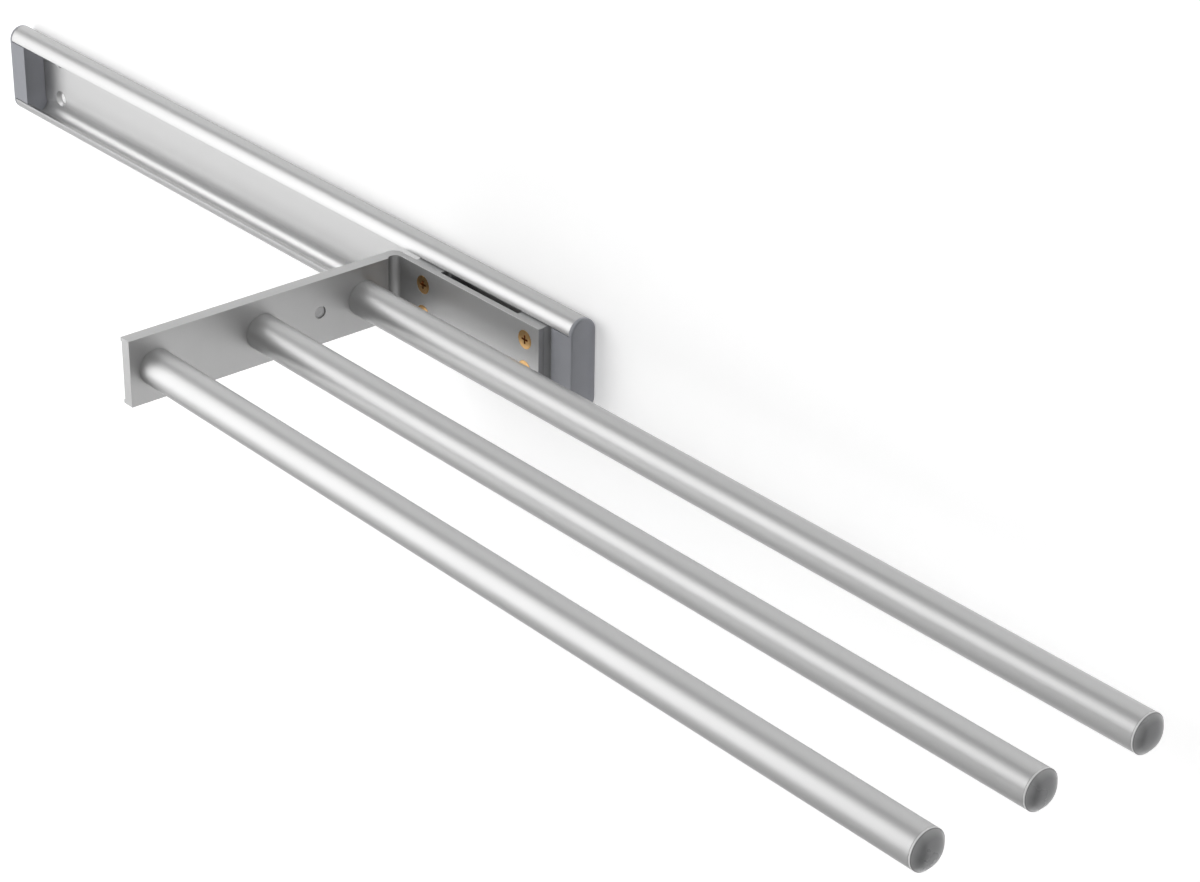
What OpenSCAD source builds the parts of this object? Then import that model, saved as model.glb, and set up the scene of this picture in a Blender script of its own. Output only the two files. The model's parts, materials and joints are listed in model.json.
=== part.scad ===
// Pull-out towel rack: a wall rail, and a carriage of three bars on an L bracket that slides along it.
// Millimetres. X runs along the rail towards the bar tips, Y = 0 is the wall and -Y leaves it, Z is up.

/* [Rail] */
// Length of the rail extrusion between its end caps
rail_len = 436; // [300:2:700]
// Depth of the rail from the wall to its front, which is also the diameter of its round edges
rail_d = 13; // [12:0.5:18]
// Height of the open slot between the two lips
slot_h = 31; // [26:0.5:44]
// Wall of the round edges
rail_wall = 1.6; // [1.2:0.1:2]
// Thickness of the flat web against the wall
web_t = 2; // [1.6:0.1:3]
// Distance from a rail end to the mounting holes near it
hole_inset = 25.5; // [20:0.5:60]
// Height between the two mounting holes of a pair
hole_pitch = 21; // [16:0.5:24]
// Through diameter of a mounting hole
hole_d = 5.6; // [4:0.1:6]
// Depth of a mounting hole's countersink in the web
hole_sink = 1.4; // [0.6:0.1:1.5]

/* [End caps] */
// Thickness of the plate that covers the end of the rail
cap_plate = 2; // [1.6:0.1:4]
// Length of the plug inside the rail
cap_plug = 11; // [8:0.5:20]
// Radius of the rounded rim of the plate
cap_rim_r = 0.8; // [0.4:0.1:1.4]
// Clearance of the plug in the rail
cap_fit = 0.1; // [0.05:0.05:0.3]
// Shadow gap between the plug and each lip
cap_lip_gap = 0.6; // [0.2:0.1:1]

/* [Bracket] */
// Height of the bracket
bracket_h = 30; // [28:0.5:40]
// Thickness of the arm
arm_t = 6; // [5:0.5:9]
// Reach of the arm beyond the front of the foot
arm_reach = 137.5; // [110:0.5:180]
// Depth of the shallow channel in the back of the arm
arm_channel = 0.8; // [0.3:0.1:1.2]
// Height of the ridges along the channel
arm_ridge = 1.6; // [1:0.1:3]
// Thickness of the foot
foot_t = 3; // [2.6:0.1:5]
// Length of the foot beyond the front of the arm
foot_len = 95; // [88:0.5:130]
// Gap between the rail and the foot
foot_gap = 2; // [1:0.1:4]
// Outer radius of the bend
bend_r = 4.5; // [2:0.1:6]
// Radius of the relief groove in the inner corner
relief_r = 3; // [1.5:0.1:3.5]
// Depth that the relief groove cuts into the arm
relief_cut = 1.5; // [0.5:0.1:2]

/* [Slide] */
// Length of a slide block
block_len = 22; // [18:0.5:28]
// Length of the block's neck, which stands through the slot
neck_len = 17; // [15:0.5:18]
// Running gap of a slide block in the rail
slide_gap = 0.3; // [0.15:0.05:0.5]
// Gap between the neck and each lip
neck_gap = 0.6; // [0.3:0.1:1]
// Gap left between a block and an end cap at the end of the travel
stop_gap = 0.3; // [0.2:0.1:2]
// Distance from the arm's front to the rear pair of carriage screws
rear_screw_x = 17; // [15:0.5:24]
// Distance from the end of the foot to the front pair of carriage screws
front_screw_inset = 9; // [6:0.5:12]
// Height between the two carriage screws of a pair
screw_pitch = 14; // [12:0.5:18]
// Thread diameter of a carriage screw
screw_d = 4; // [3:0.1:5]
// Head diameter of a carriage screw
screw_head_d = 8.4; // [7:0.1:9]
// Thickness of the threaded plate in a slide block
nut_t = 2.5; // [2:0.1:4]
// Width of the threaded plate
nut_w = 11; // [9:0.5:13]
// Height of the threaded plate
nut_h = 25; // [23:0.5:27]

/* [Bars] */
// Diameter of a towel bar
bar_d = 16; // [12:0.5:20]
// Length of a bar from the arm to the rim of its tip plug
bar_len = 440; // [300:5:600]
// Wall of the bar tube
bar_wall = 1.5; // [1:0.1:2]
// Distance from the front of the foot to the first bar
first_bar = 19; // [18:0.5:24]
// Distance from the outer bar to the tip of the arm
tip_margin = 12.5; // [9:0.5:20]
// Length of the threaded insert in the root of a bar
insert_len = 14; // [10:0.5:25]
// Thread diameter of a bar screw
bar_screw_d = 5; // [4:0.1:6]
// Length of a bar screw's thread inside the insert
bar_screw_grip = 11; // [6:0.5:13]
// Head diameter of a bar screw
bar_screw_head_d = 9.6; // [8.6:0.1:11]
// Thickness of the tip plug's flange between the tube and the rim
tip_flange = 1; // [0.8:0.1:3]
// Height of the tip plug's dome beyond the rim
tip_dome = 3.4; // [1:0.1:5]
// Length of the tip plug's stem
tip_stem = 12; // [6:0.5:20]
// Radius of the rounded rim round the dome
tip_rim = 0.35; // [0.2:0.05:0.4]
// Radius of the tip plug's edge at its seam with the tube
tip_seam = 0.2; // [0.1:0.05:0.3]
// Radial clearance of the pieces inside the tube
tube_fit = 0.1; // [0.05:0.05:0.2]

/* [Buffer] */
// Diameter of the buffer's stem in the arm
buffer_d = 5.4; // [4:0.1:7]
// Distance of the buffer from the first bar
buffer_y = 23; // [18:0.5:30]
// Diameter of the buffer's head behind the arm
buffer_head_d = 10; // [8:0.5:13]
// Thickness of the buffer's head
buffer_head_t = 2.4; // [1.4:0.1:4]
// How far the stem ends below the front of the arm
buffer_recess = 0.8; // [0.2:0.1:2]

/* [Hidden] */
$fn = 64;

// Overrun of every cut
over = 1;
// Radial clearance of a screw in its hole, and of a thread in its nut
hole_clear = 0.2;
thread_clear = 0.05;
// Clearance round the nut plate and under the countersunk heads
seat_gap = 0.1;
// Width and depth of a cross recess
cross_w = 1;
cross_deep = 1.6;
// Straight lead-in at the tip of a screw
point_len = 0.8;

// Centre height and radius of the rail's round edges, and of the channel inside them
edge_z = slot_h / 2;
edge_r = rail_d / 2;
track_r = edge_r - rail_wall;
rail_end = rail_len / 2;
hole_x = rail_end - hole_inset;

// Distances from the wall
foot_back = rail_d + foot_gap;
foot_front = foot_back + foot_t;
arm_tip = foot_front + arm_reach;
block_back = web_t + slide_gap;
nut_back = block_back + seat_gap;
nut_front = nut_back + nut_t;

// Places along the rail, with the carriage pulled out to its stop
front_screw_x = foot_len - front_screw_inset;
plug_face = rail_end - cap_plug;
arm_x = plug_face - stop_gap - block_len / 2 - front_screw_x;
screw_xs = [arm_x + rear_screw_x, arm_x + front_screw_x];
bar_pitch = (arm_reach - first_bar - tip_margin) / 2;
bar_ys = [for (i = [0:2]) -(foot_front + first_bar + i * bar_pitch)];
buffer_py = bar_ys[0] - buffer_y;
arm_seat = arm_t - arm_channel;
bore_r = bar_d / 2 - bar_wall;

// Extrudes an outline drawn in Y and Z along X
module along_x(len) {
    rotate([90, 0, 90]) linear_extrude(len) children();
}

// Turns a profile, drawn as radius against X, about an axis along X
module about_x() {
    rotate([90, 0, 90]) rotate_extrude() children();
}

module at_edges() {
    for (side = [-1, 1]) translate([-edge_r, side * edge_z]) children();
}

module rail_outline() {
    difference() {
        union() {
            at_edges() circle(edge_r);
            translate([-web_t, -edge_z]) square([web_t, slot_h]);
        }
        at_edges() circle(track_r);
        translate([-rail_d - over, -edge_z]) square([rail_d + over - web_t, slot_h]);
    }
}

// One countersunk hole through the web, from the wall forwards
module mounting_hole() {
    sink_r = hole_d / 2 + hole_sink;
    rotate([90, 0, 0]) {
        translate([0, 0, -over]) cylinder(h = web_t + 2 * over, d = hole_d);
        translate([0, 0, web_t - hole_sink]) cylinder(h = hole_sink, r1 = hole_d / 2, r2 = sink_r);
        translate([0, 0, web_t]) cylinder(h = over, r = sink_r);
    }
}

module wall_rail() {
    color("#c9cacb") difference() {
        translate([-rail_end, 0, 0]) along_x(rail_len) rail_outline();
        for (x = [-hole_x, hole_x], z = [-hole_pitch / 2, hole_pitch / 2])
            translate([x, 0, z]) mounting_hole();
    }
}

// Half section of the plate, with its outer rim rounded
module plate_profile() {
    square([edge_r, cap_plate - cap_rim_r]);
    square([edge_r - cap_rim_r, cap_plate]);
    translate([edge_r - cap_rim_r, cap_plate - cap_rim_r]) circle(cap_rim_r);
}

module plug_outline() {
    at_edges() circle(track_r - cap_fit);
    translate([-rail_d, cap_lip_gap - edge_z])
        square([rail_d - web_t - cap_fit, slot_h - 2 * cap_lip_gap]);
    translate([-edge_r, -edge_z]) square([edge_r - web_t - cap_fit, slot_h]);
}

// An end cap whose plate lies against X = 0 and whose plug reaches towards -X
module end_cap() {
    color("#9a9ba3") {
        for (side = [-1, 1]) translate([0, -edge_r, side * edge_z]) about_x() plate_profile();
        translate([0, -edge_r, -edge_z]) linear_extrude(slot_h) {
            for (flip = [0, 1]) mirror([0, flip]) rotate(90) mirror([0, 1]) plate_profile();
        }
        translate([-cap_plug, 0, 0]) along_x(cap_plug) plug_outline();
    }
}

module rear_end_cap() {
    translate([-rail_end, 0, 0]) mirror([1, 0, 0]) end_cap();
}

module front_end_cap() {
    translate([rail_end, 0, 0]) end_cap();
}

// The bracket seen from above, with X = 0 at the front of the arm
module bracket_outline() {
    difference() {
        union() {
            translate([-arm_t, -arm_tip]) square([arm_t, arm_tip - foot_back]);
            translate([-arm_t, -foot_front]) square([arm_t + foot_len, foot_t]);
            translate([0, -foot_front - relief_r]) square([relief_r - relief_cut, relief_r]);
        }
        translate([relief_r - relief_cut, -foot_front - relief_r]) circle(relief_r);
        translate([-arm_t, -foot_back]) difference() {
            translate([-over, -bend_r]) square([bend_r + over, bend_r + over]);
            translate([bend_r, -bend_r]) circle(bend_r);
        }
    }
}

// Cut for a countersunk screw: the head's mouth is at the origin and the screw runs along +Z
module countersink(head_d, thread_d, depth) {
    shank_r = thread_d / 2 + hole_clear;
    mouth_r = head_d / 2 + seat_gap;
    translate([0, 0, -over]) cylinder(h = over, r = mouth_r);
    cylinder(h = mouth_r - shank_r, r1 = mouth_r, r2 = shank_r);
    cylinder(h = depth + over, r = shank_r);
}

module at_carriage_screws() {
    for (x = screw_xs, z = [-screw_pitch / 2, screw_pitch / 2])
        translate([x, -foot_front, z]) rotate([-90, 0, 0]) children();
}

// Places a child at the root of each listed bar, with its Z axis along the bar
module at_bars(numbers) {
    for (i = numbers) translate([arm_x, bar_ys[i], 0]) rotate([0, 90, 0]) children();
}

module bracket() {
    color("#bfc0c1") difference() {
        translate([arm_x, 0, -bracket_h / 2]) linear_extrude(bracket_h) bracket_outline();
        // Shallow channel between the ridges of the arm's back
        translate([arm_x - arm_t - over, -arm_tip - over, arm_ridge - bracket_h / 2])
            cube([arm_channel + over, arm_tip - foot_back - bend_r + over, bracket_h - 2 * arm_ridge]);
        at_carriage_screws() countersink(screw_head_d, screw_d, foot_t);
        at_bars([0:2]) translate([0, 0, -arm_seat]) countersink(bar_screw_head_d, bar_screw_d, arm_seat);
        translate([arm_x - arm_t - over, buffer_py, 0]) rotate([0, 90, 0])
            cylinder(h = arm_t + 2 * over, r = buffer_d / 2 + seat_gap);
    }
}

module block_outline() {
    at_edges() circle(track_r - slide_gap);
    translate([-edge_r - track_r + slide_gap, -edge_z])
        square([edge_r + track_r - slide_gap - block_back, slot_h]);
}

// A slide block centred on its pair of screws
module slide_block(x) {
    color("#8d8f94") difference() {
        union() {
            translate([x - block_len / 2, 0, 0]) along_x(block_len) block_outline();
            translate([x - neck_len / 2, -foot_back, neck_gap - edge_z])
                cube([neck_len, foot_back - edge_r, slot_h - 2 * neck_gap]);
        }
        // Pocket for the threaded plate
        translate([x - nut_w / 2 - seat_gap, -nut_front - seat_gap, -nut_h / 2 - seat_gap])
            cube([nut_w + 2 * seat_gap, nut_t + over, nut_h + 2 * seat_gap]);
        for (z = [-screw_pitch / 2, screw_pitch / 2])
            translate([x, over, z]) rotate([90, 0, 0])
                cylinder(h = foot_back + 2 * over, r = screw_d / 2 + hole_clear);
    }
}

module rear_slide_block() {
    slide_block(screw_xs[0]);
}

module front_slide_block() {
    slide_block(screw_xs[1]);
}

module nut_plate(x) {
    color("#a8a9aa") difference() {
        translate([x - nut_w / 2, -nut_front, -nut_h / 2]) cube([nut_w, nut_t, nut_h]);
        for (z = [-screw_pitch / 2, screw_pitch / 2])
            translate([x, over - nut_back, z]) rotate([90, 0, 0])
                cylinder(h = nut_t + 2 * over, r = screw_d / 2 + thread_clear);
    }
}

module rear_nut_plate() {
    nut_plate(screw_xs[0]);
}

module front_nut_plate() {
    nut_plate(screw_xs[1]);
}

// A countersunk screw along +Z with a cross recess, its head flush with Z = 0
module flat_screw(head_d, thread_d, len) {
    difference() {
        union() {
            cylinder(h = (head_d - thread_d) / 2, r1 = head_d / 2, r2 = thread_d / 2);
            cylinder(h = len - point_len, d = thread_d);
            translate([0, 0, len - point_len])
                cylinder(h = point_len, d1 = thread_d, r2 = thread_d / 2 - point_len);
        }
        for (turn = [0, 90]) rotate(turn)
            translate([-thread_d / 2, -cross_w / 2, -over]) cube([thread_d, cross_w, cross_deep + over]);
    }
}

module carriage_screws() {
    color("#c8a24a") at_carriage_screws() flat_screw(screw_head_d, screw_d, foot_front - nut_back);
}

module towel_bar(i) {
    color("#c4c5c6") at_bars([i]) difference() {
        cylinder(h = bar_len - tip_flange, d = bar_d);
        translate([0, 0, -over]) cylinder(h = bar_len + over, r = bore_r);
    }
}

module inner_bar() {
    towel_bar(0);
}

module middle_bar() {
    towel_bar(1);
}

module outer_bar() {
    towel_bar(2);
}

// Threaded insert in the root of a bar, with a chamfered inner end
module bar_insert(i) {
    insert_r = bore_r - tube_fit;
    color("#8f9092") at_bars([i]) difference() {
        union() {
            cylinder(h = insert_len - point_len, r = insert_r);
            translate([0, 0, insert_len - point_len])
                cylinder(h = point_len, r1 = insert_r, r2 = insert_r - point_len);
        }
        translate([0, 0, -over]) cylinder(h = insert_len + 2 * over, r = bar_screw_d / 2 + thread_clear);
    }
}

module inner_bar_insert() {
    bar_insert(0);
}

module middle_bar_insert() {
    bar_insert(1);
}

module outer_bar_insert() {
    bar_insert(2);
}

module bar_screw(i) {
    color("#b9babb") at_bars([i]) translate([0, 0, -arm_seat])
        flat_screw(bar_screw_head_d, bar_screw_d, arm_seat + bar_screw_grip);
}

module inner_bar_screw() {
    bar_screw(0);
}

module middle_bar_screw() {
    bar_screw(1);
}

module outer_bar_screw() {
    bar_screw(2);
}

// Half section of the plug's flange, as wide as the bar, with both edges rounded
module flange_profile() {
    flange_r = bar_d / 2;
    translate([0, tip_seam]) square([flange_r, tip_flange - tip_rim - tip_seam]);
    square([flange_r - tip_seam, tip_flange - tip_rim]);
    square([flange_r - tip_rim, tip_flange]);
    translate([flange_r - tip_seam, tip_seam]) circle(tip_seam);
    translate([flange_r - tip_rim, tip_flange - tip_rim]) circle(tip_rim);
}

// Tip plug: a flange with a domed face, on a hollow stem inside the tube
module tip_plug(i) {
    stem_r = bore_r - tube_fit;
    dome_r = bar_d / 2 - tip_rim;
    // Radius of the ball that gives a dome of this width and height
    ball_r = (dome_r * dome_r + tip_dome * tip_dome) / (2 * tip_dome);
    color("#8b8c90") at_bars([i]) translate([0, 0, bar_len - tip_flange]) difference() {
        union() {
            rotate_extrude() flange_profile();
            intersection() {
                translate([0, 0, tip_flange + tip_dome - ball_r]) sphere(ball_r);
                cylinder(h = tip_flange + tip_dome, r = dome_r);
            }
            translate([0, 0, point_len - tip_stem]) cylinder(h = tip_stem - point_len, r = stem_r);
            translate([0, 0, -tip_stem]) cylinder(h = point_len, r1 = stem_r - point_len, r2 = stem_r);
        }
        // Hollow of the moulded stem
        translate([0, 0, -tip_stem - over]) cylinder(h = tip_stem, r = stem_r - bar_wall);
    }
}

module inner_tip_plug() {
    tip_plug(0);
}

module middle_tip_plug() {
    tip_plug(1);
}

module outer_tip_plug() {
    tip_plug(2);
}

// Push-in buffer: a stem in the arm's hole and a low round head behind the arm
module arm_buffer() {
    edge = buffer_head_t / 3;
    color("#a9aaac") translate([arm_x - arm_seat, buffer_py, 0]) rotate([0, 90, 0]) {
        cylinder(h = arm_seat - buffer_recess, d = buffer_d);
        translate([0, 0, edge - buffer_head_t]) cylinder(h = buffer_head_t - edge, d = buffer_head_d);
        translate([0, 0, -buffer_head_t])
            cylinder(h = edge, d1 = buffer_head_d - 2 * edge, d2 = buffer_head_d);
    }
}

wall_rail();
rear_end_cap();
front_end_cap();
bracket();
rear_slide_block();
front_slide_block();
rear_nut_plate();
front_nut_plate();
carriage_screws();
inner_bar();
middle_bar();
outer_bar();
inner_bar_insert();
middle_bar_insert();
outer_bar_insert();
inner_bar_screw();
middle_bar_screw();
outer_bar_screw();
inner_tip_plug();
middle_tip_plug();
outer_tip_plug();
arm_buffer();
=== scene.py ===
# %% [markdown]
# # A pull-out towel rack in satin aluminium
# A flat rail is screwed to the wall. An L-shaped bracket slides in it on two plastic blocks and
# carries three round bars. Every solid is already made at its real size, so this lesson is about
# looks: the camera, the finish of drawn and anodised aluminium, of moulded plastic and of plated
# steel, and at the end the light.

# %% Load the frame
import json
import math

import bpy
from mathutils import Matrix, Vector


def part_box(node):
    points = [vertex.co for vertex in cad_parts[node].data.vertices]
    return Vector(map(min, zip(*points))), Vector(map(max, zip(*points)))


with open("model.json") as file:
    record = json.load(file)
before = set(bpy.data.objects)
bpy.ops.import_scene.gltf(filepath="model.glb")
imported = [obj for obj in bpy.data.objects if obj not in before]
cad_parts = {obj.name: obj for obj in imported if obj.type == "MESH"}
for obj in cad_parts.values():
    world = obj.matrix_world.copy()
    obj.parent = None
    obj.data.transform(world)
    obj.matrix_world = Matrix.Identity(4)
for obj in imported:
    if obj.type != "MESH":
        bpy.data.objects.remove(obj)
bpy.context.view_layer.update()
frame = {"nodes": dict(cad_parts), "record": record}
nodes = frame["nodes"]
MM = 0.001

# %% [markdown]
# ## The camera
# The picture was taken with a long lens from the front right and a little above. We could point
# the camera at an empty with a constraint, but a matrix made from its three directions lets us
# add the small roll of the picture as one plain number. The picture is 1200 by 882 pixels, and
# the lens is chosen for the full width of a 36 mm sensor.

# %% Place the camera
AZIMUTH = math.radians(49.02)
ELEVATION = math.radians(27.76)
ROLL = math.radians(1.02)
CAMERA_AT = Vector((1.0892, -0.7518, 0.5685))
LENS_MM = 92.97
SENSOR_MM = 36
NEAREST, FARTHEST = 0.05, 30


def camera_axes(azimuth, elevation, roll):
    """Right, up and backward directions of a camera that looks along -backward."""
    right = Vector((math.cos(azimuth), math.sin(azimuth), 0))
    level = math.cos(elevation)
    back = Vector((math.sin(azimuth) * level, -math.cos(azimuth) * level, math.sin(elevation)))
    up = back.cross(right)
    return (
        right * math.cos(roll) + up * math.sin(roll),
        up * math.cos(roll) - right * math.sin(roll),
        back,
    )


def add_camera():
    data = bpy.data.cameras.new("picture_camera")
    data.sensor_width = SENSOR_MM
    data.lens = LENS_MM
    data.clip_start, data.clip_end = NEAREST, FARTHEST
    camera = bpy.data.objects.new("picture_camera", data)
    bpy.context.scene.collection.objects.link(camera)
    turn = Matrix(camera_axes(AZIMUTH, ELEVATION, ROLL)).transposed().to_4x4()
    camera.matrix_world = Matrix.Translation(CAMERA_AT) @ turn
    bpy.context.scene.camera = camera
    return camera


camera = add_camera()
print("camera at", [round(x, 3) for x in camera.location], "lens", LENS_MM)

# %% [markdown]
# ## Small helpers for shader nodes
# A material is a graph of nodes. Written out in full, a graph buries its idea under
# bookkeeping. So a few helpers do the wiring, and every one rests on the same thought: a socket
# is fed either with a plain value or with another node's output.

# %% Helpers that add and feed nodes
def feed(tree, socket, value):
    """Links another node's output to the socket, or sets the socket to a number or a colour."""
    if isinstance(value, bpy.types.NodeSocket):
        tree.links.new(value, socket)
    else:
        socket.default_value = value


def add_node(tree, kind, inputs=None, **settings):
    """Adds a node of a kind, changes its settings and feeds its inputs by name or number."""
    node = tree.nodes.new("ShaderNode" + kind)
    for name, value in settings.items():
        setattr(node, name, value)
    for name, value in (inputs or {}).items():
        feed(tree, node.inputs[name], value)
    return node


def math_node(tree, operation, *values, clamp=False):
    """The result of a Math node. The values go to its sockets in order."""
    node = add_node(tree, "Math", dict(enumerate(values)), operation=operation, use_clamp=clamp)
    return node.outputs[0]


def ramp(tree, value, start, end, at_start=0.0, at_end=1.0):
    """Goes from at_start to at_end while the value goes from start to end, and stays there."""
    sockets = {"Value": value, "From Min": start, "From Max": end, "To Min": at_start, "To Max": at_end}
    return add_node(tree, "MapRange", sockets).outputs["Result"]


def noise(tree, place, scale, detail, roughness=0.5):
    sockets = {"Vector": place, "Scale": scale, "Detail": detail, "Roughness": roughness}
    return add_node(tree, "TexNoise", sockets).outputs["Fac"]


print("helpers that add and feed nodes: feed, add_node, math_node, ramp, noise")

# %% [markdown]
# ## Helpers for groups and materials
# A group is a graph of its own with named inputs and outputs. Whatever more than one finish
# needs is built once as a group, and each finish places it with its own values. The shader
# itself stays in the material, where the renderer reads it.

# %% Helpers for groups and materials
def new_group(name, inputs, outputs):
    """An empty group: the default of each number input, and the socket type of each output."""
    tree = bpy.data.node_groups.new(name, "ShaderNodeTree")
    for label, default in inputs.items():
        socket = tree.interface.new_socket(label, in_out="INPUT", socket_type="NodeSocketFloat")
        socket.default_value = default
    for label, kind in outputs.items():
        tree.interface.new_socket(label, in_out="OUTPUT", socket_type="NodeSocket" + kind)
    start = tree.nodes.new("NodeGroupInput")
    end = tree.nodes.new("NodeGroupOutput")
    return tree, start.outputs, end.inputs


def use_group(tree, group, **inputs):
    """Places a group and returns its outputs. An underscore in a name stands for a space."""
    node = tree.nodes.new("ShaderNodeGroup")
    node.node_tree = group
    for name, value in inputs.items():
        feed(tree, node.inputs[name.replace("_", " ")], value)
    return node.outputs


def new_material(name):
    """A material with its output node and its Principled shader, and nothing else."""
    material = bpy.data.materials.new(name)
    material.use_nodes = True
    tree = material.node_tree
    tree.nodes.clear()
    output = tree.nodes.new("ShaderNodeOutputMaterial")
    shader = tree.nodes.new("ShaderNodeBsdfPrincipled")
    tree.links.new(shader.outputs["BSDF"], output.inputs["Surface"])
    return material, tree, shader.inputs


print("helpers for whole graphs: new_group, use_group, new_material")

# %% [markdown]
# ## Group: drawn lines
# An extruded or drawn profile carries very fine lines along the way it left the die. An image
# of scratches would need an unwrapped mesh. Noise in object space that is stretched along one
# axis needs none: its scale is high across the lines and low along them. A second, broader
# noise on the same stretch makes groups of lines a little paler or darker.

# %% Group for drawn lines
BROAD_SCALE = 0.12


def make_drawn_lines():
    tree, given, result = new_group(
        "drawn_lines",
        {"Along X": 12.0, "Along Y": 2600.0, "Along Z": 2600.0},
        {"Height": "Float", "Streak": "Float"},
    )
    place = add_node(tree, "TexCoord").outputs["Object"]
    scales = {axis: given["Along " + axis] for axis in "XYZ"}
    stretch = add_node(tree, "CombineXYZ", scales).outputs[0]
    stretched = add_node(tree, "VectorMath", {0: place, 1: stretch}, operation="MULTIPLY").outputs[0]
    feed(tree, result["Height"], noise(tree, stretched, scale=1.0, detail=2.0, roughness=0.6))
    feed(tree, result["Streak"], noise(tree, stretched, scale=BROAD_SCALE, detail=1.0))
    return tree


drawn_lines = make_drawn_lines()
print("group:", drawn_lines.name)

# %% [markdown]
# ## Group: fine grain and mottle
# Anodising etches the metal to a fine even frost, and moulded plastic copies a spark-eroded
# tool. Both look like a tiny grain over a slow, cloudy change. One group gives the two
# scales, and each material chooses its own sizes.

# %% Group for grain and mottle
def make_grain():
    tree, given, result = new_group(
        "grain_and_mottle",
        {"Grain Scale": 3000.0, "Mottle Scale": 40.0},
        {"Grain": "Float", "Mottle": "Float"},
    )
    place = add_node(tree, "TexCoord").outputs["Object"]
    feed(tree, result["Grain"], noise(tree, place, given["Grain Scale"], detail=1.0))
    feed(tree, result["Mottle"], noise(tree, place, given["Mottle Scale"], detail=3.0, roughness=0.55))
    return tree


grain_and_mottle = make_grain()
print("group:", grain_and_mottle.name)

# %% [markdown]
# ## Group: softened edges
# No real edge is perfectly sharp. Handling breaks it, and the broken edge catches a thin line
# of light. We could bevel every mesh, but the shapes here come from the construction and stay as
# they are. The Bevel node bends the normal near an edge instead. Where the bent normal departs
# from the true one there is an edge, which gives a wear mask for free.

# %% Group for softened edges
BEVEL_SAMPLES = 6


def make_soft_edges():
    tree, given, result = new_group(
        "soft_edges",
        {"Radius": 0.3 * MM, "Reach": 6.0},
        {"Normal": "Vector", "Edge": "Float"},
    )
    bent = add_node(tree, "Bevel", {"Radius": given["Radius"]}, samples=BEVEL_SAMPLES).outputs[0]
    true_normal = add_node(tree, "NewGeometry").outputs["Normal"]
    likeness = add_node(tree, "VectorMath", {0: bent, 1: true_normal}, operation="DOT_PRODUCT")
    bend = math_node(tree, "SUBTRACT", 1.0, likeness.outputs["Value"], clamp=True)
    feed(tree, result["Normal"], bent)
    feed(tree, result["Edge"], math_node(tree, "MULTIPLY", bend, given["Reach"], clamp=True))
    return tree


soft_edges = make_soft_edges()
print("group:", soft_edges.name)

# %% [markdown]
# ## Groups: sheltered places
# Fine dust stays where a cloth can't reach: in screw recesses, grooves and the joint between
# two pieces. Shade falls in the same places, so the darkening there is partly dust and partly
# painted shade. The same masks also paint light into a channel: a paler tone where bounce light
# would fall.
# Ambient occlusion finds both, because little of the surroundings can be seen from there.
# A short distance finds corners and a long one finds whole hollows. A second copy of the
# group looks only at the piece itself, so that the wall behind doesn't count as shelter.

# %% Groups for sheltered places
SHELTER_SAMPLES = 8


def make_sheltered(name, only_local):
    tree, given, result = new_group(name, {"Distance": 2 * MM, "Strength": 0.6}, {"Mask": "Float"})
    distance = {"Distance": given["Distance"]}
    sight = add_node(tree, "AmbientOcclusion", distance, samples=SHELTER_SAMPLES, only_local=only_local)
    closed = math_node(tree, "SUBTRACT", 1.0, sight.outputs["AO"], clamp=True)
    feed(tree, result["Mask"], math_node(tree, "MULTIPLY", closed, given["Strength"], clamp=True))
    return tree


sheltered_places = make_sheltered("sheltered_places", only_local=False)
own_hollows = make_sheltered("own_hollows", only_local=True)
print("groups:", sheltered_places.name, own_hollows.name)

# %% [markdown]
# ## Tones, unevenness and relief
# Every finish below is built in the same three steps. Its colour is a stack of blends, each
# with a mask of its own: clouds, worn edges, dust with painted shade, and in some finishes painted
# light. Its roughness drifts a little round one value. Its relief is a Bump node fed with a fine
# pattern, over the softened edges. Five helpers do that, so that each recipe can be read as a
# list of what happens to the surface.

# %% Helpers for tones, roughness and relief
def shaded(colour, factor=1.0):
    """The colour made darker or paler by a factor, as a shader socket wants it."""
    return (*[min(1.0, c * factor) for c in colour], 1.0)


def grey(level):
    """The same for a colour with equal parts."""
    return shaded((level, level, level))


def blend_colours(tree, mask, a, b):
    """Colour a where the mask is 0 and colour b where it is 1. Mix keeps one socket for each type."""
    mix = add_node(tree, "Mix", data_type="RGBA", blend_type="MIX")
    wanted = {"Factor_Float": mask, "A_Color": a, "B_Color": b}
    for socket in mix.inputs:
        if socket.identifier in wanted:
            feed(tree, socket, wanted[socket.identifier])
    return next(s for s in mix.outputs if s.identifier == "Result_Color")


def drift_round(tree, pattern, value, spread):
    """A number that drifts round a value by half the spread, as the pattern goes from 0 to 1."""
    return math_node(tree, "MULTIPLY_ADD", pattern, spread, value - spread / 2)


def relief(tree, height, depth, normal):
    """The normal bent by a pattern of a real depth, on top of another normal."""
    sockets = {"Height": height, "Strength": 1.0, "Distance": depth, "Normal": normal}
    return add_node(tree, "Bump", sockets).outputs[0]


print("a colour socket takes four numbers, such as", grey(0.5))
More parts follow.
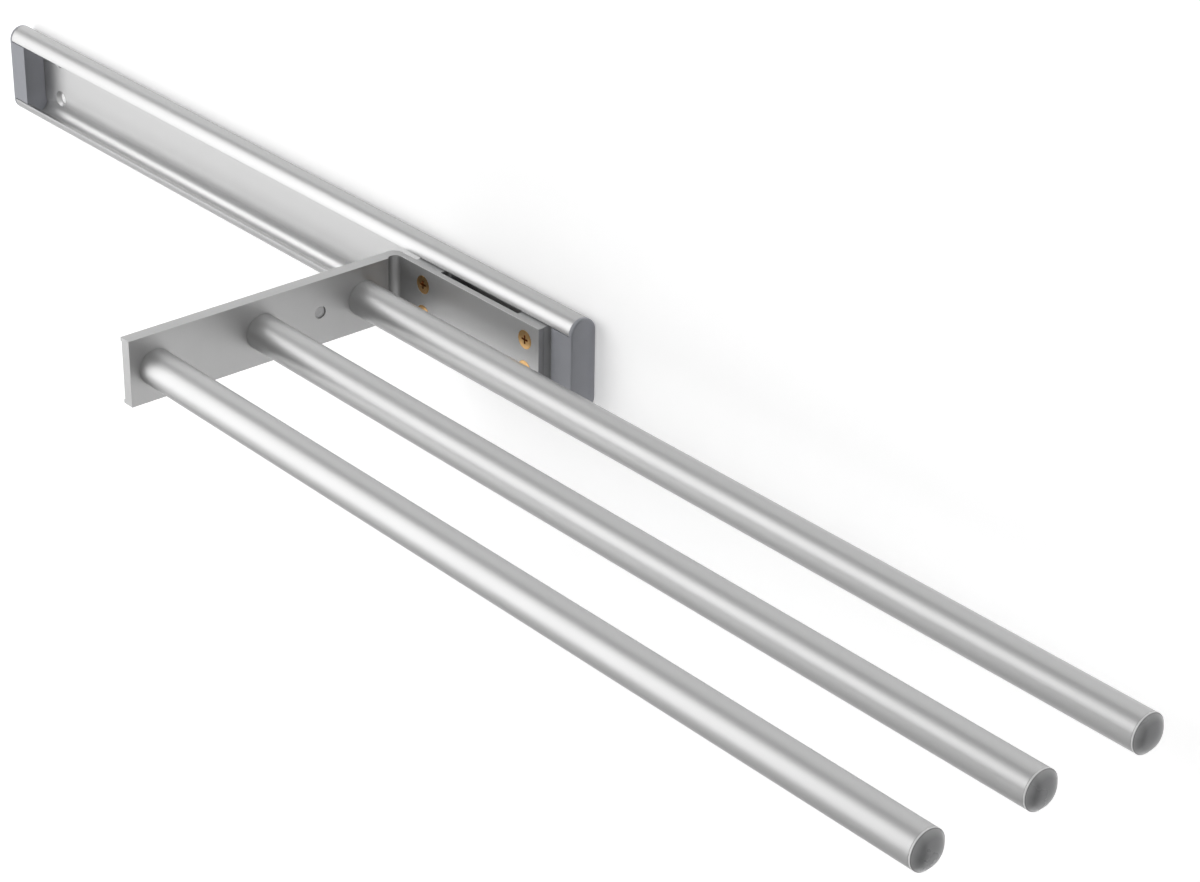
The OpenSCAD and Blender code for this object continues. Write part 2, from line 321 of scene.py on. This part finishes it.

# %% [markdown]
# ## Satin anodised aluminium
# The rail, the bracket and the bars are all aluminium that was etched and anodised. Metal has
# no diffuse colour of its own, so the finish lives in its roughness: the frost spreads every
# highlight into a soft band. One recipe serves all three. They differ in the direction of
# the drawn lines, in how rough they are and in how bright. Only the rail has an open channel.
# There a paler tone is painted in as light that bounces round the channel, and in the deepest places the
# surface scatters light as a pale paint does.

# %% Recipe for satin anodised aluminium
# A tone is a factor on the finish's own level, and a share is the most that its mask shows
LINES_ALONG_X = (10.0, 2400.0, 2400.0)
LINES_ALONG_Z = (2400.0, 2400.0, 10.0)
CLOUD_DARK, CLOUD_PALE = 0.965, 1.03
STREAK_TONE, STREAK_SHARE = 1.06, 0.35
METAL_WEAR_TONE, METAL_WEAR_SHARE = 1.25, 0.35
METAL_DUST_AND_SHADE_TONE, METAL_DUST_DULLS = 0.42, 0.25
HOLLOW_REACH, HOLLOW_STRENGTH = 14 * MM, 1.5
DEEP_REACH, DEEP_START, DEEP_END = 45 * MM, 0.50, 0.80
FROST_SPREAD, FROST_DEPTH = 0.06, 0.006 * MM
LINE_DEPTH, BAR_LINE_DEPTH = 0.010 * MM, 0.006 * MM


def paint_hollow_light(tree, shader, tone, hollow_light_level):
    """Painted light inside a channel: a paler tone where bounce light would fall. In its deepest places
    the surface stops being metallic.
    """
    hollow_light = use_group(tree, own_hollows, Distance=HOLLOW_REACH, Strength=HOLLOW_STRENGTH)
    deep = use_group(tree, sheltered_places, Distance=DEEP_REACH, Strength=1.0)
    bare = ramp(tree, deep["Mask"], DEEP_START, DEEP_END, at_start=1.0, at_end=0.0)
    feed(tree, shader["Metallic"], bare)
    return blend_colours(tree, hollow_light["Mask"], tone, grey(hollow_light_level))


def satin_aluminium(name, level, roughness, lines, line_depth=LINE_DEPTH, hollow_light_level=None):
    material, tree, shader = new_material(name)
    drawn = use_group(tree, drawn_lines, Along_X=lines[0], Along_Y=lines[1], Along_Z=lines[2])
    frost = use_group(tree, grain_and_mottle, Grain_Scale=4200.0, Mottle_Scale=26.0)
    edges = use_group(tree, soft_edges, Radius=0.25 * MM)
    dust_and_shade = use_group(tree, sheltered_places, Distance=1.4 * MM, Strength=0.22)
    # Colour: clouds, streaks, painted light in hollows, worn edges, and dust with painted shade, in this
    # order
    tone = blend_colours(tree, frost["Mottle"], grey(level * CLOUD_DARK), grey(level * CLOUD_PALE))
    streaks = math_node(tree, "MULTIPLY", drawn["Streak"], STREAK_SHARE)
    tone = blend_colours(tree, streaks, tone, grey(level * STREAK_TONE))
    if hollow_light_level:
        # Painted light: a paler tone where light would bounce round the channel
        tone = paint_hollow_light(tree, shader, tone, hollow_light_level)
    else:
        shader["Metallic"].default_value = 1.0
    wear = math_node(tree, "MULTIPLY", edges["Edge"], METAL_WEAR_SHARE)
    tone = blend_colours(tree, wear, tone, grey(level * METAL_WEAR_TONE))
    # Dust and painted shade: a darker tone in corners and joints
    tone = blend_colours(tree, dust_and_shade["Mask"], tone, grey(level * METAL_DUST_AND_SHADE_TONE))
    feed(tree, shader["Base Color"], tone)
    # Roughness: the frost is a little uneven, and dust is dull
    uneven = drift_round(tree, frost["Mottle"], roughness, FROST_SPREAD)
    dull = math_node(tree, "MULTIPLY_ADD", dust_and_shade["Mask"], METAL_DUST_DULLS, uneven)
    feed(tree, shader["Roughness"], dull)
    # Relief: drawn lines first, then the frost over them
    lined = relief(tree, drawn["Height"], line_depth, edges["Normal"])
    feed(tree, shader["Normal"], relief(tree, frost["Grain"], FROST_DEPTH, lined))
    return material


print("aluminium: hollows reach", HOLLOW_REACH / MM, "mm, deep places", DEEP_REACH / MM, "mm")

# %% [markdown]
# The rail and the bars were drawn along X, so that is the way their lines run. The bracket's
# lines run up and down, across its arm, and its metal is a little darker.

# %% Make the three aluminium finishes
rail_finish = satin_aluminium(
    "rail_satin_aluminium", level=0.515, roughness=0.42, lines=LINES_ALONG_X, hollow_light_level=0.82
)
bracket_finish = satin_aluminium(
    "bracket_satin_aluminium", level=0.47, roughness=0.45, lines=LINES_ALONG_Z
)
bar_finish = satin_aluminium(
    "bar_satin_aluminium", level=0.505, roughness=0.45, lines=LINES_ALONG_X, line_depth=BAR_LINE_DEPTH
)
print("aluminium finishes:", rail_finish.name, bracket_finish.name, bar_finish.name)

# %% [markdown]
# ## Moulded plastic
# Plastic is a coloured body under a thin clear skin, so the Principled shader's ordinary
# specular does it. The moulding's fine grain goes into the bump, and a slow mottle goes into
# the roughness and keeps the colour from looking printed. The end caps are blue-grey and matt,
# and painted light makes them paler where they face into the channel, where bounce light would
# fall. The tip plugs are dark and glossy with a pale collar, the thin rim at the end of the tube,
# partly its own paler tone and partly a painted highlight. It is the only visible part of a plug
# that faces away from the bar's axis, so the X part of the normal finds it.

# %% Recipe for moulded plastic
BODY_DARK, BODY_PALE = 0.94, 1.05
PLASTIC_WEAR_TONE, PLASTIC_WEAR_SHARE = 1.35, 0.25
PLASTIC_DUST_AND_SHADE_TONE = 0.45
COLLAR_START, COLLAR_END = 0.35, 0.85
SKIN_SPREAD, SKIN_DEPTH = 0.08, 0.008 * MM


def rim_mask(tree):
    """1 where the surface faces away from the X axis, 0 where it faces along it."""
    facing = add_node(tree, "SeparateXYZ", {0: add_node(tree, "NewGeometry").outputs["Normal"]})
    along = math_node(tree, "ABSOLUTE", facing.outputs["X"])
    return ramp(tree, along, COLLAR_START, COLLAR_END, at_start=1.0, at_end=0.0)


def moulded_plastic(name, colour, roughness, gloss=0.5, hollow_light_tone=None, collar_and_highlight_level=None):
    material, tree, shader = new_material(name)
    tool = use_group(tree, grain_and_mottle, Grain_Scale=2600.0, Mottle_Scale=90.0)
    edges = use_group(tree, soft_edges, Radius=0.2 * MM)
    dust_and_shade = use_group(tree, sheltered_places, Distance=1.2 * MM, Strength=0.2)
    tone = blend_colours(tree, tool["Mottle"], shaded(colour, BODY_DARK), shaded(colour, BODY_PALE))
    wear = math_node(tree, "MULTIPLY", edges["Edge"], PLASTIC_WEAR_SHARE)
    tone = blend_colours(tree, wear, tone, shaded(colour, PLASTIC_WEAR_TONE))
    if hollow_light_tone:
        hollow_light = use_group(tree, sheltered_places, Distance=HOLLOW_REACH, Strength=HOLLOW_STRENGTH)
        # Painted light: paler where the cap faces into the channel
        tone = blend_colours(tree, hollow_light["Mask"], tone, shaded(colour, hollow_light_tone))
    if collar_and_highlight_level:
        # A pale collar, partly its own paler tone and partly a painted highlight
        tone = blend_colours(tree, rim_mask(tree), tone, grey(collar_and_highlight_level))
    # Dust and painted shade: a darker tone in corners and joints
    tone = blend_colours(tree, dust_and_shade["Mask"], tone, shaded(colour, PLASTIC_DUST_AND_SHADE_TONE))
    feed(tree, shader["Base Color"], tone)
    feed(tree, shader["Roughness"], drift_round(tree, tool["Mottle"], roughness, SKIN_SPREAD))
    feed(tree, shader["Normal"], relief(tree, tool["Grain"], SKIN_DEPTH, edges["Normal"]))
    shader["Metallic"].default_value = 0.0
    shader["Specular IOR Level"].default_value = gloss
    return material


print("plastic: grain", SKIN_DEPTH / MM, "mm deep, roughness drifts by", SKIN_SPREAD)

# %% [markdown]
# Four plastics come from this recipe. The slide blocks are a plain mid grey, because only their
# necks show above the bracket's foot. The buffer is a paler grey than the arm that it sits in.

# %% Make the four plastic finishes
CAP_COLOUR = (0.345, 0.353, 0.382)
TIP_COLOUR = (0.22, 0.222, 0.228)
SLIDE_COLOUR = (0.52, 0.525, 0.53)
BUFFER_COLOUR = (0.68, 0.68, 0.685)
cap_finish = moulded_plastic("cap_blue_grey_plastic", CAP_COLOUR, roughness=0.50, gloss=0.3, hollow_light_tone=1.8)
tip_finish = moulded_plastic("tip_grey_plastic", TIP_COLOUR, roughness=0.28, gloss=1.0, collar_and_highlight_level=0.85)
slide_finish = moulded_plastic("slide_grey_plastic", SLIDE_COLOUR, roughness=0.42)
buffer_finish = moulded_plastic("buffer_grey_plastic", BUFFER_COLOUR, roughness=0.50)
print("plastic finishes:", cap_finish.name, tip_finish.name, slide_finish.name, buffer_finish.name)

# %% [markdown]
# ## Plated steel
# The carriage screws are zinc plated and yellow passivated: a gold that drifts towards brown.
# The bar screws, nut plates and inserts are plain bright zinc. Both are metals with a
# smoother skin than the frosted aluminium, and their recesses are darker, partly dirt and partly
# painted shade.

# %% Recipe for plated steel
STEEL_WEAR_TONE, STEEL_WEAR_SHARE = 1.2, 0.4
DIRT_AND_SHADE_TONE = 0.12
PLATING_SPREAD, PLATING_DEPTH = 0.10, 0.006 * MM
YELLOW_ZINC, BROWN_ZINC = (0.72, 0.46, 0.20), (0.50, 0.29, 0.12)
BRIGHT_ZINC, BLUE_ZINC = (0.60, 0.61, 0.63), (0.52, 0.53, 0.56)


def plated_steel(name, colour, drift, roughness):
    material, tree, shader = new_material(name)
    skin = use_group(tree, grain_and_mottle, Grain_Scale=1500.0, Mottle_Scale=420.0)
    edges = use_group(tree, soft_edges, Radius=0.12 * MM)
    dirt_and_shade = use_group(tree, sheltered_places, Distance=1.2 * MM, Strength=0.3)
    tone = blend_colours(tree, skin["Mottle"], shaded(colour), shaded(drift))
    wear = math_node(tree, "MULTIPLY", edges["Edge"], STEEL_WEAR_SHARE)
    tone = blend_colours(tree, wear, tone, shaded(colour, STEEL_WEAR_TONE))
    # Dirt and painted shade: a darker tone in recesses
    tone = blend_colours(tree, dirt_and_shade["Mask"], tone, shaded(drift, DIRT_AND_SHADE_TONE))
    feed(tree, shader["Base Color"], tone)
    feed(tree, shader["Roughness"], drift_round(tree, skin["Grain"], roughness, PLATING_SPREAD))
    feed(tree, shader["Normal"], relief(tree, skin["Grain"], PLATING_DEPTH, edges["Normal"]))
    shader["Metallic"].default_value = 1.0
    return material


screw_finish = plated_steel("yellow_zinc_steel", YELLOW_ZINC, BROWN_ZINC, roughness=0.20)
steel_finish = plated_steel("bright_zinc_steel", BRIGHT_ZINC, BLUE_ZINC, roughness=0.28)
print("plated finishes:", screw_finish.name, steel_finish.name)

# %% [markdown]
# ## Dress the construction
# Each solid of the frame takes the finish that belongs to its material slot in the record. The
# meshes aren't touched, because their shapes are right already: only their materials change.

# %% Give every solid its finish
FINISHES = {
    "rail_aluminium": rail_finish,
    "bracket_aluminium": bracket_finish,
    "bar_aluminium": bar_finish,
    "cap_plastic": cap_finish,
    "tip_plastic": tip_finish,
    "slide_plastic": slide_finish,
    "buffer_plastic": buffer_finish,
    "brass_screw": screw_finish,
    "steel": steel_finish,
}


def dress(node, finish):
    if not node.data.materials:
        node.data.materials.append(finish)
    for slot in node.material_slots:
        slot.material = finish


for part in frame["record"]["subparts"]:
    dress(nodes[part["node"]], FINISHES[part["material_slot"]])

# %% [markdown]
# ## Paint for the wall
# The rack hangs on a white wall, and the picture shows its soft shadow there. A wall that is
# lit until it is pure white would burn the metal out as well. So the paint glows a little, but
# only for rays that come from the camera or from a mirror or glass: the wall looks white, and
# the object isn't lit by it. The main lamp stands at the left, so the glow grows to the right
# and evens that out. From behind the wall is clear, so that the rack can be seen from there too.

# %% Material for the wall
WALL_DARK, WALL_PALE = 0.92, 0.94
GLOW_NEAR, GLOW_FAR = 0.305, 0.585
GLOW_START_X, GLOW_END_X = 0.15, 0.80


def seen_or_mirrored(tree):
    """1 for a ray from the camera, off a gloss or through glass, and 0 for all other light."""
    path = add_node(tree, "LightPath").outputs
    seen = math_node(tree, "MAXIMUM", path["Is Camera Ray"], path["Is Glossy Ray"])
    return math_node(tree, "MAXIMUM", seen, path["Is Transmission Ray"])


def clear_from_behind(tree):
    """Keeps the paint on the front of each face and makes the back of it clear."""
    surface = next(n for n in tree.nodes if n.type == "OUTPUT_MATERIAL").inputs["Surface"]
    painted = surface.links[0].from_socket
    clear = add_node(tree, "BsdfTransparent").outputs[0]
    behind = add_node(tree, "NewGeometry").outputs["Backfacing"]
    feed(tree, surface, add_node(tree, "MixShader", {0: behind, 1: painted, 2: clear}).outputs[0])


def wall_paint():
    material, tree, shader = new_material("wall_paint")
    roller = use_group(tree, grain_and_mottle, Grain_Scale=900.0, Mottle_Scale=6.0)
    tone = blend_colours(tree, roller["Mottle"], grey(WALL_DARK), grey(WALL_PALE))
    feed(tree, shader["Base Color"], tone)
    shader["Roughness"].default_value = 0.9
    shader["Specular IOR Level"].default_value = 0.1
    place = add_node(tree, "SeparateXYZ", {0: add_node(tree, "TexCoord").outputs["Object"]})
    even = ramp(tree, place.outputs["X"], GLOW_START_X, GLOW_END_X, GLOW_NEAR, GLOW_FAR)
    shader["Emission Color"].default_value = grey(1.0)
    feed(tree, shader["Emission Strength"], math_node(tree, "MULTIPLY", seen_or_mirrored(tree), even))
    clear_from_behind(tree)
    return material


wall_finish = wall_paint()
print("wall paint glows", GLOW_NEAR, "to", GLOW_FAR)

# %% [markdown]
# ## The wall
# The wall is one mesh of flat faces that look towards -Y. Four of them leave an opening behind
# the rail, so that light reaches the rail's back. Through the screw holes a camera would see
# the floor or the sky in that opening, so a small patch of wall closes each hole from behind.
# A patch has ten sides and is smaller than its hole, or its corners would show from the back.

# %% Build the wall
WALL_HALF = 3.0
WALL_GAP = 0.2 * MM
OPENING_INSET_SHARE = 0.5
HOLE_PATCH = 2.7 * MM
PATCH_SIDES = 10
CORNERS = 4


def flat_mesh(name, corners, faces, material):
    mesh = bpy.data.meshes.new(name)
    mesh.from_pydata(corners, [], faces)
    mesh.materials.append(material)
    piece = bpy.data.objects.new(name, mesh)
    bpy.context.scene.collection.objects.link(piece)
    return piece


def frame_faces():
    """The faces between an outer rectangle, the first four points, and an inner one, the next four."""
    following = [(i + 1) % CORNERS for i in range(CORNERS)]
    return [(i, j, CORNERS + j, CORNERS + i) for i, j in enumerate(following)]


def rectangle(x0, x1, z0, z1):
    """Four corners on the wall's plane, in the order that makes a face look towards -Y."""
    return [(x0, WALL_GAP, z0), (x1, WALL_GAP, z0), (x1, WALL_GAP, z1), (x0, WALL_GAP, z1)]


def patch_outline(x, z):
    turns = [math.tau * i / PATCH_SIDES for i in range(PATCH_SIDES)]
    return [(x + HOLE_PATCH * math.cos(t), WALL_GAP, z + HOLE_PATCH * math.sin(t)) for t in turns]


def add_wall():
    low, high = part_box("wall_rail")
    inset = OPENING_INSET_SHARE * (high.y - low.y)
    corners = rectangle(-WALL_HALF, WALL_HALF, -WALL_HALF, WALL_HALF)
    corners += rectangle(low.x, high.x, low.z + inset, high.z - inset)
    faces = frame_faces()
    holes = next(m for m in frame["record"]["mounts"] if m["name"] == "wall_holes")["dims"]
    half_x, half_z = holes["spacing_x_mm"] / 2 * MM, holes["spacing_y_mm"] / 2 * MM
    for x, _, z in rectangle(-half_x, half_x, -half_z, half_z):
        faces.append(tuple(range(len(corners), len(corners) + PATCH_SIDES)))
        corners += patch_outline(x, z)
    return flat_mesh("wall", corners, faces, wall_finish)


wall = add_wall()
print("wall faces:", len(wall.data.polygons))

# %% [markdown]
# ## The floor
# A pale floor lies well below the rack. The main view doesn't show it, but it gives the
# undersides of the bars something quiet to mirror, and the other views a room to be in.

# %% Build the floor
FLOOR_Z = -0.95
FLOOR_FRONT = -6.0
FLOOR_DARK, FLOOR_PALE = 0.70, 0.76


def floor_paint():
    material, tree, shader = new_material("floor_paint")
    cast = use_group(tree, grain_and_mottle, Grain_Scale=700.0, Mottle_Scale=5.0)
    tone = blend_colours(tree, cast["Mottle"], grey(FLOOR_DARK), grey(FLOOR_PALE))
    feed(tree, shader["Base Color"], tone)
    shader["Roughness"].default_value = 0.85
    return material


def add_floor():
    side, back = WALL_HALF, WALL_HALF
    outline = [(-side, FLOOR_FRONT), (side, FLOOR_FRONT), (side, back), (-side, back)]
    return flat_mesh("floor", [(x, y, FLOOR_Z) for x, y in outline], [(0, 1, 2, 3)], floor_paint())


floor = add_floor()
print("stage:", wall.name, floor.name)

# %% [markdown]
# ## Lamps
# The bars tell how the picture was lit, because a round bar mirrors its whole surroundings
# across its width: a wide bright band from the front left, a dim strip from above, the wall at
# its upper edge and darkness below. So one large softbox stands at the front left. A small
# lamp low at the left lights the inside of the rail and the end of the arm, but hardly the
# bars, and a weak card low at the front right keeps the tip plugs from going black.

# %% Place the three lamps
MIDDLE = (0.20, -0.07, 0.0)
RAIL_AIM = (-0.05, -0.05, 0.0)
LAMPS = {
    "key_softbox": {"place": (-1.168, -1.51, 0.46), "target": MIDDLE, "size": (1.92, 2.45), "power": 28.7},
    "low_fill": {"place": (-0.90, -0.72, -0.52), "target": RAIL_AIM, "size": (0.8, 0.5), "power": 0.62},
    "side_card": {"place": (1.26, -1.09, -0.65), "target": MIDDLE, "size": (0.5, 0.5), "power": 0.6},
}


def add_lamp(name, place, target, size, power):
    """A rectangular lamp that points at the target and can't be seen itself."""
    data = bpy.data.lights.new(name, "AREA")
    data.shape = "RECTANGLE"
    data.size, data.size_y = size
    data.energy = power
    lamp = bpy.data.objects.new(name, data)
    lamp.location = place
    lamp.rotation_euler = (Vector(target) - Vector(place)).to_track_quat("-Z", "Y").to_euler()
    lamp.visible_camera = False
    bpy.context.scene.collection.objects.link(lamp)
    return lamp


lamps = [add_lamp(name, **values) for name, values in LAMPS.items()]
print("lamps:", [lamp.name for lamp in lamps])

# %% [markdown]
# ## Sky
# The sky fills in the rest. In front of the wall it is brighter at the left than at the right,
# so that the bars fall off towards their tips. Behind the wall it is bright, for the views from
# there. Such a view looks towards the front right, so that corner is a pale backdrop, but again
# only for rays that come from the camera, off a gloss or through glass.

# %% Make the sky
SKY_LEFT, SKY_RIGHT = 0.46, 0.16
SKY_BEHIND = 0.85
SKY_BACKDROP = 0.72
LEFT_END_X, RIGHT_END_X = -0.6, 0.9
BEHIND_FULL_Y = 0.5
BACKDROP_FULL_X, BACKDROP_FULL_Y = 0.35, -0.25


def add_sky():
    world = bpy.data.worlds.new("studio_sky")
    bpy.context.scene.world = world
    world.use_nodes = True
    tree = world.node_tree
    background = next(n for n in tree.nodes if n.type == "BACKGROUND")
    direction = add_node(tree, "TexCoord").outputs["Generated"]
    towards = add_node(tree, "SeparateXYZ", {0: direction}).outputs
    across = ramp(tree, towards["X"], LEFT_END_X, RIGHT_END_X)
    tone = blend_colours(tree, across, grey(SKY_LEFT), grey(SKY_RIGHT))
    tone = blend_colours(tree, ramp(tree, towards["Y"], 0.0, BEHIND_FULL_Y), tone, grey(SKY_BEHIND))
    right = ramp(tree, towards["X"], 0.0, BACKDROP_FULL_X)
    front = ramp(tree, towards["Y"], 0.0, BACKDROP_FULL_Y)
    corner = math_node(tree, "MULTIPLY", right, front)
    backdrop = math_node(tree, "MULTIPLY", corner, seen_or_mirrored(tree))
    feed(tree, background.inputs["Color"], blend_colours(tree, backdrop, tone, grey(SKY_BACKDROP)))
    return world


sky = add_sky()
bpy.context.scene.view_settings.view_transform = "Standard"
print("sky:", sky.name, "view transform:", bpy.context.scene.view_settings.view_transform)
